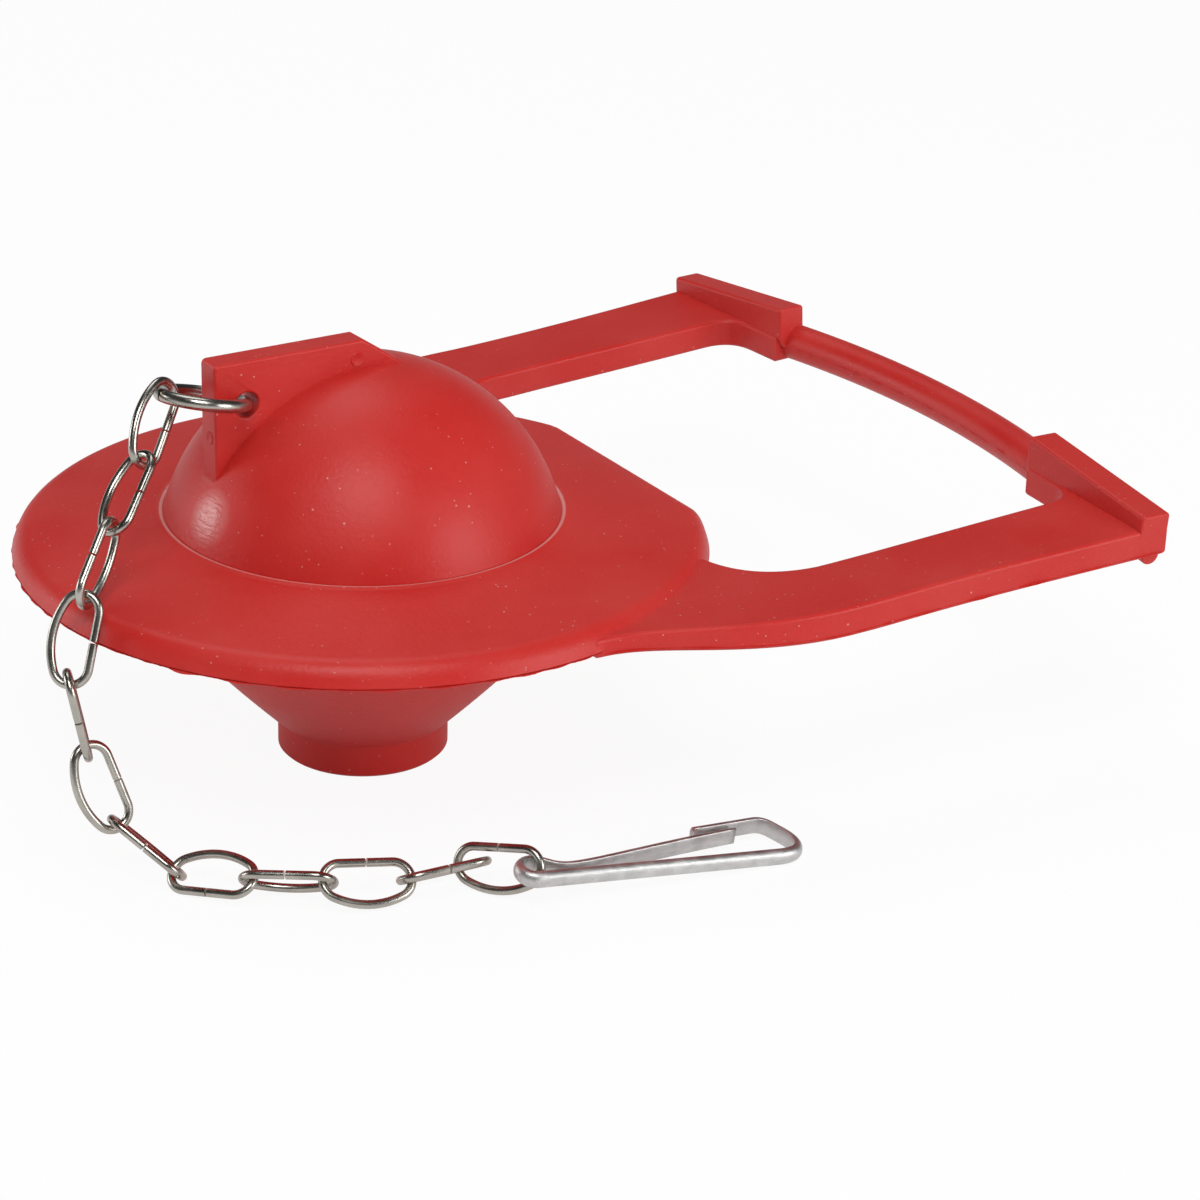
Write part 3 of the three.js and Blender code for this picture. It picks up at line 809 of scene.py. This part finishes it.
def flash(s):
    """Flash round the lower edge of the rim, and along the outer edges of the arms and the rod."""
    bm = bmesh.new()
    r = s.disc_radius - 0.12 * MM
    steps = int((FLASH_TO - FLASH_FROM) / FLASH_STEP)
    angles = [math.radians(FLASH_FROM + FLASH_STEP * i) for i in range(steps + 1)]
    out = [Vector((math.cos(a), math.sin(a), 0)) for a in angles]
    add_flash(bm, [o * r + Vector((0, 0, 0.02 * MM)) for o in out], out, 3.0, most=0.6)
    for side in (1, -1):
        pts = []
        for x, y in arm_outline(s)[1:34]:
            under = arm_lift(x) + root_lift(x) - s.arm_thickness + 0.42 * MM
            pts.append(Vector((x, y * side, under)))
        fine = []
        for a, b in zip(pts, pts[1:]):
            steps = max(1, int((b - a).length / (0.4 * MM)))
            fine += [a.lerp(b, k / steps) for k in range(steps)]
        last = len(fine) - 1
        alongs = [fine[min(i + 1, last)] - fine[max(i - 1, 0)] for i in range(len(fine))]
        out = [Vector((0, 0, side)).cross(along).normalized() for along in alongs]
        add_flash(bm, fine, out, 9.0 * side, most=0.45)
    line = rod_line(240)
    for side, seed in ((1, 21.0), (-1, 27.0)):
        out = [Vector((side, 0, 0))] * len(line)
        edge = Vector((side * (ROD_RADIUS - 0.05) * MM, 0, 0))
        add_flash(bm, [q + edge for q in line], out, seed, most=0.3)
    bmesh.ops.recalc_face_normals(bm, faces=bm.faces)
    return bm


class FLAPPER_OT_body(bpy.types.Operator):
    """Rubber float with its seal disc, fin, arms, bars and rod"""
    bl_idname = "flapper.body"
    bl_label = "Rubber body"

    def execute(self, context):
        s = context.scene.flapper_body
        bm = bmesh.new()
        add_turned(bm, float_profile(s), BODY_SEGMENTS)
        # the straight back of the disc keeps the rim's round section
        for v in bm.verts:
            inset = s.disc_radius - math.hypot(v.co.x, v.co.y)
            if inset < s.rim_round + 0.001 * MM and v.co.z > -0.5 * MM:
                v.co.x = min(v.co.x, s.disc_back - max(0, inset))
        bmesh.ops.recalc_face_normals(bm, faces=bm.faces)
        sides = [arm(s), bar(), lug()]
        mesh = united("rubber_body", bm, [fin(s), *sides, *[mirrored(b) for b in sides], rod()])
        edges = flash(s)
        for place, facing, radius in MARKS:
            add_mark(edges, Vector(mm(*place)), Vector(facing), radius * MM)
        edges.from_mesh(mesh)
        edges.to_mesh(mesh)
        edges.free()
        mesh = even_normals(mesh, math.radians(CREASE))
        finished("rubber_body", mesh, "flapper", "flapper", rubber_material())
        return {"FINISHED"}


# ---------------------------------------------------------------- chain

# Where the first link hangs on the ring, in degrees round it, and how much it leans to the ring
HANG, LEAN = -17, 0.35

# In millimetres: slack of the first link on the ring, and how far the last link is pushed up
# into the one before it; then the clip's eye from the last link's end, along the clip's axes
FIRST_SLACK, LAST_PUSH = 0.12, 1.92
EYE_PLAY = (-0.6, 0.2, -0.5)


def axes(lie):
    """A piece's own axes in the scene, from its heading, slope and roll."""
    h, s, r = (math.radians(a) for a in lie)
    u = Vector((math.cos(s) * math.cos(h), math.cos(s) * math.sin(h), math.sin(s)))
    side = Vector((-math.sin(h), math.cos(h), 0))
    v = side * math.cos(r) + u.cross(side) * math.sin(r)
    return u, v, u.cross(v)


def chain_places(s):
    """(name, axes, centre) of the ring, the links and the clip, hung in each other as they lie."""
    a, b = (s.link_length - s.link_wire) / 2, (s.link_width - s.link_wire) / 2
    crown_y = s.link_end - b
    ring = axes(RING_LIE)
    centre = Vector(mm(FIN_HOLE[0], 0, FIN_HOLE[1])) + ring[0] * s.ring_radius
    out = [("chain_ring", ring, centre)]
    hang = math.radians(HANG)
    pull = ring[0] * math.cos(hang) + ring[1] * math.sin(hang)
    crown = centre + pull * s.ring_radius
    along = pull * LEAN
    step = (s.ring_wire + s.link_wire) / 2 + s.play + FIRST_SLACK * MM
    for i, lie in enumerate(LINK_LIE, 1):
        u, v, n = axes(lie)
        if i == len(LINK_LIE):
            step += LAST_PUSH * MM
        first = crown - (along + u).normalized() * step
        out.append(("chain_link_%02d" % i, (u, v, n), first + u * a - v * crown_y))
        crown = first + u * 2 * a
        along = u
        step = s.link_wire + s.play
    clip = axes(CLIP_LIE)
    for axis, play in zip(clip, EYE_PLAY):
        crown = crown + axis * play * MM
    out.append(("spring_clip", clip, crown))
    return out


def link_line(s):
    """Centre line of a link, from one side of the butt joint to the other."""
    a, b, e = (s.link_length - s.link_wire) / 2, (s.link_width - s.link_wire) / 2, s.link_end
    x, cy = a - e, e - b
    bow = (x * x + (b - cy) ** 2 - e * e) / (2 * (b - cy - e))
    by = b - bow
    t = math.atan2(cy - by, x)
    p = [(s.butt / 2, -b)] + [(x * k / 5, -b) for k in range(1, 5)]
    p += arc(x, cy, e, -math.pi / 2, t, 22)
    p += arc(0, by, bow, t, math.pi - t, 18)[1:]
    p += arc(-x, cy, e, math.pi - t, 1.5 * math.pi, 22)[1:]
    p += [(-x * k / 5, -b) for k in range(4, 0, -1)] + [(-s.butt / 2, -b)]
    return p


def ring_line(s):
    """Middle of the ring's wire, from one side of the butt joint to the other."""
    half = s.butt / 2 / s.ring_radius
    return arc(0, 0, s.ring_radius, half, 2 * math.pi - half, 96)


def wire_tree():
    """Wire bent along a line, turned and put in its place: sizes and place are inputs."""
    tree = bpy.data.node_groups.get("Bent wire")
    if tree:
        return tree
    tree = bpy.data.node_groups.new("Bent wire", "GeometryNodeTree")
    kinds = {"Line": "Geometry", "Wire": "Float", "Sides": "Int", "Turn": "Rotation",
             "Place": "Vector", "Finish": "Material"}
    for name, kind in kinds.items():
        tree.interface.new_socket(name, in_out="INPUT", socket_type="NodeSocket" + kind)
    tree.interface.new_socket("Piece", in_out="OUTPUT", socket_type="NodeSocketGeometry")
    n, l = tree.nodes, tree.links
    gi, go = n.new("NodeGroupInput"), n.new("NodeGroupOutput")
    curve = n.new("GeometryNodeMeshToCurve")
    l.new(gi.outputs["Line"], curve.inputs["Mesh"])
    circle = n.new("GeometryNodeCurvePrimitiveCircle")
    l.new(gi.outputs["Sides"], circle.inputs["Resolution"])
    l.new(scaled(n, l, gi.outputs["Wire"], 0.5), circle.inputs["Radius"])
    sweep = n.new("GeometryNodeCurveToMesh")
    sweep.inputs["Fill Caps"].default_value = True
    l.new(curve.outputs["Curve"], sweep.inputs["Curve"])
    l.new(circle.outputs["Curve"], sweep.inputs["Profile Curve"])
    move = n.new("GeometryNodeTransform")
    l.new(sweep.outputs["Mesh"], move.inputs["Geometry"])
    l.new(gi.outputs["Turn"], move.inputs["Rotation"])
    l.new(gi.outputs["Place"], move.inputs["Translation"])
    real = n.new("GeometryNodeRealizeInstances")
    l.new(move.outputs["Geometry"], real.inputs["Geometry"])
    mat = n.new("GeometryNodeSetMaterial")
    l.new(real.outputs["Geometry"], mat.inputs["Geometry"])
    l.new(gi.outputs["Finish"], mat.inputs["Material"])
    l.new(mat.outputs["Geometry"], go.inputs["Piece"])
    return tree


def bent_wire(name, line, wire, sides, frame_axes, centre, material):
    """One piece of wire through the Bent wire tree, as a plain mesh at the origin."""
    bm = bmesh.new()
    vs = [bm.verts.new((x, y, 0)) for x, y in line]
    for p, q in zip(vs, vs[1:]):
        bm.edges.new((p, q))
    obj = working(name + "_work", bm)
    mod = obj.modifiers.new("wire", "NODES")
    mod.node_group = wire_tree()
    u, v, n = frame_axes
    turn = Matrix((u, v, n)).transposed().to_euler()
    values = {"Wire": wire, "Sides": sides, "Turn": tuple(turn), "Place": tuple(centre), "Finish": material}
    for item in mod.node_group.interface.items_tree:
        if item.item_type == "SOCKET" and item.in_out == "INPUT" and item.name in values:
            mod[item.identifier] = values[item.name]
    mesh = plain_mesh(obj, name)
    return finished(name + "_wire", mesh, name, name, material)


class FLAPPER_OT_ring(bpy.types.Operator):
    """Ring of heavier wire through the fin"""
    bl_idname = "flapper.ring"
    bl_label = "Chain ring"

    def execute(self, context):
        s = context.scene.flapper_chain
        name, frame_axes, centre = chain_places(s)[0]
        bent_wire(name, ring_line(s), s.ring_wire, 28, frame_axes, centre, steel_material())
        return {"FINISHED"}


class FLAPPER_OT_links(bpy.types.Operator):
    """Oval links of the pull chain"""
    bl_idname = "flapper.links"
    bl_label = "Chain links"

    def execute(self, context):
        s = context.scene.flapper_chain
        mat = bpy.data.materials.get("bright_steel_wire") or steel_material()
        line = link_line(s)
        for name, frame_axes, centre in chain_places(s)[1:-1]:
            bent_wire(name, line, s.link_wire, 24, frame_axes, centre, mat)
        return {"FINISHED"}


# ---------------------------------------------------------------- clip

# In millimetres: reach of the end bend, length and drop of the hook's nose, the gaps between
# the back and the tongue and between its tip and the nose, and the tip's place
BEND_REACH = 2.9
NOSE_LENGTH, NOSE_DROP = 7.8, 0.85
TONGUE_LOW, TIP_GAP, TIP_BACK, TIP_RISE = 0.75, 0.15, 3.1, 0.51

# The finished strip is this much thinner on each face, so that it clears the last link where it swings
STRIP_CLEAR = 0.04 * MM

# The strip's round side starts this far above its flat one
STRIP_EDGE = 0.18 * MM


def clip_line(s):
    """Middle of the strip: hook, end bend, straight back, eye and spring tongue."""
    k, t = MM, s.thickness
    back, reach, x1 = -s.eye, BEND_REACH * MM, s.back
    hook = back + s.height
    p = [(x1 - NOSE_LENGTH * k, hook - NOSE_DROP * k)]
    p += bezier([p[-1], (x1, hook)], 8)
    p += bezier([p[-1], (x1 + reach * 0.4, hook), (x1 + reach * 0.6, hook - reach * 0.3),
                 (x1 + reach * 0.8, hook - reach * 0.7)], 12)
    p += bezier([p[-1], (x1 + reach * 1.5, back + reach * 0.6), (x1 + reach * 1.1, back),
                 (x1 + reach * 0.1, back)], 24)
    p += bezier([p[-1], (0, back)], 30)
    p += arc(0, 0, s.eye, -math.pi / 2, -math.pi / 2 - 3.75, 36)[1:]
    low = back + t + TONGUE_LOW * k
    p += bezier([p[-1], (s.eye * 1.17, s.eye * 0.39), (s.eye * 1.44, low), (s.eye * 2.33, low)], 16)
    tip = hook - NOSE_DROP * k - t - TIP_GAP * k
    p += bezier([p[-1], (x1 * 0.25, low), (x1 * 0.5, low + (tip - low) * 0.62),
                 (x1 - TIP_BACK * k, tip + TIP_RISE * k)], 40)
    return [Vector((x, y, 0)) for x, y in p]


def strip_section(s):
    """Half-round section of the strip, (across, outward), its flat side's corners eased."""
    w, t = s.width / 2, s.thickness / 2 - STRIP_CLEAR
    turns = [math.pi * (0.5 - k / 14) for k in range(15)]
    section = [(w * math.sin(a), -t + STRIP_EDGE + (2 * t - STRIP_EDGE) * math.cos(a)) for a in turns]
    ease = 0.05 * MM
    return section + [(-w * 0.97, -t + ease), (-w * 0.9, -t), (w * 0.9, -t), (w * 0.97, -t + ease)]


class FLAPPER_OT_clip(bpy.types.Operator):
    """Spring clip bent from half-round strip"""
    bl_idname = "flapper.clip"
    bl_label = "Spring clip"

    def execute(self, context):
        s = context.scene.flapper_clip
        bm = bmesh.new()
        add_swept(bm, clip_line(s), strip_section(s))
        bmesh.ops.recalc_face_normals(bm, faces=bm.faces)
        name, (u, v, n), centre = chain_places(context.scene.flapper_chain)[-1]
        bm.transform(Matrix.Translation(centre) @ Matrix((u, v, n)).transposed().to_4x4())
        mesh = bpy.data.meshes.new("spring_clip_strip")
        bm.to_mesh(mesh)
        bm.free()
        finished("spring_clip_strip", mesh, "spring_clip", "spring_clip", zinc_material())
        return {"FINISHED"}


# ---------------------------------------------------------------- stage

FLOOR_HALF, FLOOR_CLEAR = 3, 0.05 * MM
FLOOR_WHITE = 0.93
# the floor as metal sees it, near the object and far from it, and where it fades
FLOOR_NEAR, FLOOR_FAR, FADE_FROM, FADE_TO = 0.30, 0.05, 0.10, 0.34
ROOM_LIGHT, ROOM_LOW, ROOM_HIGH = 0.34, 0.40, 0.03
ROOM_COLOUR = (0.96, 0.98, 1.0, 1)

# name, place, size and power of each soft lamp, and what they all point at
LAMPS = (
    ("key", (-0.24, -0.42, 0.72), 0.40, 3.4),
    ("fill", (0.42, -0.70, 0.24), 0.40, 2.5),
    ("left", (-0.62, 0.58, 0.16), 0.32, 1.3),
    ("top", (0.10, 0.40, 0.85), 0.50, 1.6),
)
LAMPS_AT = (0.01, 0, 0)

CAMERA_AT = (-0.17802, -0.32068, 0.15696)
CAMERA_RIGHT, CAMERA_UP = (0.8419, -0.5389, 0.0281), (0.1984, 0.3576, 0.9126)
CAMERA_LENS, CAMERA_SENSOR = 103.44, 36


def add_floor(scene):
    """White for the camera; metal sees it pale near the object and dim beyond."""
    level = CAD_BOX[0][2] - FLOOR_CLEAR
    corners = ((-1, -1), (1, -1), (1, 1), (-1, 1))
    mesh = bpy.data.meshes.new("floor")
    mesh.from_pydata([(x * FLOOR_HALF, y * FLOOR_HALF, level) for x, y in corners], [], [(0, 1, 2, 3)])
    floor = bpy.data.objects.new("floor", mesh)
    scene.collection.objects.link(floor)
    floor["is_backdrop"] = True
    mat, n, l, bsdf = new_material("pale_floor")
    bsdf.inputs["Base Color"].default_value = rgba(scene.flapper_colours.floor)
    bsdf.inputs["Roughness"].default_value = 0.9
    path = n.new("ShaderNodeLightPath")
    away = vectors(n, l, "LENGTH", n.new("ShaderNodeTexCoord").outputs["Object"])
    pale = ranged(n, l, away, FADE_FROM, FADE_TO, FLOOR_NEAR, FLOOR_FAR)
    in_metal = worked(n, l, "MULTIPLY", path.outputs["Is Glossy Ray"], pale)
    white = scaled(n, l, path.outputs["Is Camera Ray"], FLOOR_WHITE)
    seen = worked(n, l, "MAXIMUM", white, in_metal)
    lit = n.new("ShaderNodeEmission")
    out = next(x for x in n if x.type == "OUTPUT_MATERIAL")
    l.new(shaders(n, l, seen, bsdf.outputs[0], lit.outputs[0]), out.inputs["Surface"])
    mesh.materials.append(mat)


def add_room(scene):
    """White for the camera; metal sees a pale backdrop low down and a dark room above it."""
    world = scene.world or bpy.data.worlds.new("studio")
    scene.world = world
    world.use_nodes = True
    n, l = world.node_tree.nodes, world.node_tree.links
    n.clear()
    path = n.new("ShaderNodeLightPath")
    height = n.new("ShaderNodeSeparateXYZ")
    l.new(n.new("ShaderNodeTexCoord").outputs["Generated"], height.inputs[0])
    band = ranged(n, l, height.outputs["Z"], 0.06, 0.30, ROOM_LOW, ROOM_HIGH)
    room = n.new("ShaderNodeBackground")
    room.inputs["Color"].default_value = ROOM_COLOUR
    strength = blended(n, l, ROOM_LIGHT, band, path.outputs["Is Glossy Ray"])
    l.new(strength, room.inputs["Strength"])
    white = n.new("ShaderNodeBackground")
    white.inputs["Color"].default_value = (1, 1, 1, 1)
    seen = worked(n, l, "MAXIMUM", path.outputs["Is Camera Ray"], path.outputs["Is Transmission Ray"])
    out = n.new("ShaderNodeOutputWorld")
    l.new(shaders(n, l, seen, room.outputs[0], white.outputs[0]), out.inputs["Surface"])


def add_lamp(scene, name, place, size, power):
    light = bpy.data.lights.new(name, "AREA")
    light.size = size
    light.energy = power
    lamp = bpy.data.objects.new(name, light)
    lamp.location = place
    aim = Vector(LAMPS_AT) - Vector(place)
    lamp.rotation_euler = aim.to_track_quat("-Z", "Y").to_euler()
    scene.collection.objects.link(lamp)


def add_camera(scene):
    """The camera, in its measured place."""
    cam = bpy.data.cameras.new("camera")
    cam.sensor_width = CAMERA_SENSOR
    cam.lens = CAMERA_LENS
    cam.clip_start = 0.01
    eye = bpy.data.objects.new("camera", cam)
    right, up = Vector(CAMERA_RIGHT), Vector(CAMERA_UP)
    back = right.cross(up).normalized()
    up = back.cross(right).normalized()
    right.normalize()
    turn = Matrix((right, up, back)).transposed().to_4x4()
    eye.matrix_world = Matrix.Translation(CAMERA_AT) @ turn
    scene.collection.objects.link(eye)
    scene.camera = eye


class FLAPPER_OT_stage(bpy.types.Operator):
    """Floor, soft lights and the camera"""
    bl_idname = "flapper.stage"
    bl_label = "Stage"

    def execute(self, context):
        scene = context.scene
        add_floor(scene)
        add_room(scene)
        for lamp in LAMPS:
            add_lamp(scene, *lamp)
        add_camera(scene)
        scene.view_settings.view_transform = "Standard"
        return {"FINISHED"}


# ---------------------------------------------------------------- panel and registration

class FLAPPER_PT_panel(bpy.types.Panel):
    """Pieces, sizes and colours of the flapper"""
    bl_label = "Toilet flapper"
    bl_idname = "FLAPPER_PT_panel"
    bl_space_type = "VIEW_3D"
    bl_region_type = "UI"
    bl_category = "Flapper"

    def draw(self, context):
        for op in OPERATORS:
            self.layout.operator(op.bl_idname)
        for key in GROUPS:
            group = getattr(context.scene, key)
            box = self.layout.box()
            for prop in group.bl_rna.properties.keys():
                if prop not in ("rna_type", "name"):
                    box.prop(group, prop)


GROUPS = {
    "flapper_body": FlapperBodySizes,
    "flapper_chain": FlapperChainSizes,
    "flapper_clip": FlapperClipSizes,
    "flapper_colours": FlapperColours,
}
OPERATORS = (FLAPPER_OT_body, FLAPPER_OT_ring, FLAPPER_OT_links, FLAPPER_OT_clip, FLAPPER_OT_stage)
CLASSES = (*GROUPS.values(), *OPERATORS, FLAPPER_PT_panel)


def register():
    for c in CLASSES:
        bpy.utils.register_class(c)
    for key, group in GROUPS.items():
        setattr(bpy.types.Scene, key, PointerProperty(type=group))


def unregister():
    for key in GROUPS:
        delattr(bpy.types.Scene, key)
    for c in reversed(CLASSES):
        bpy.utils.unregister_class(c)


def main():
    register()
    bpy.ops.flapper.stage()
    bpy.ops.flapper.body()
    bpy.ops.flapper.ring()
    bpy.ops.flapper.links()
    bpy.ops.flapper.clip()
    box = lambda b: [[float(c) for c in p] for p in b]
    {"cad": box(CAD_BOX), "scene": box(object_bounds())}


if __name__ == "__main__":
    main()
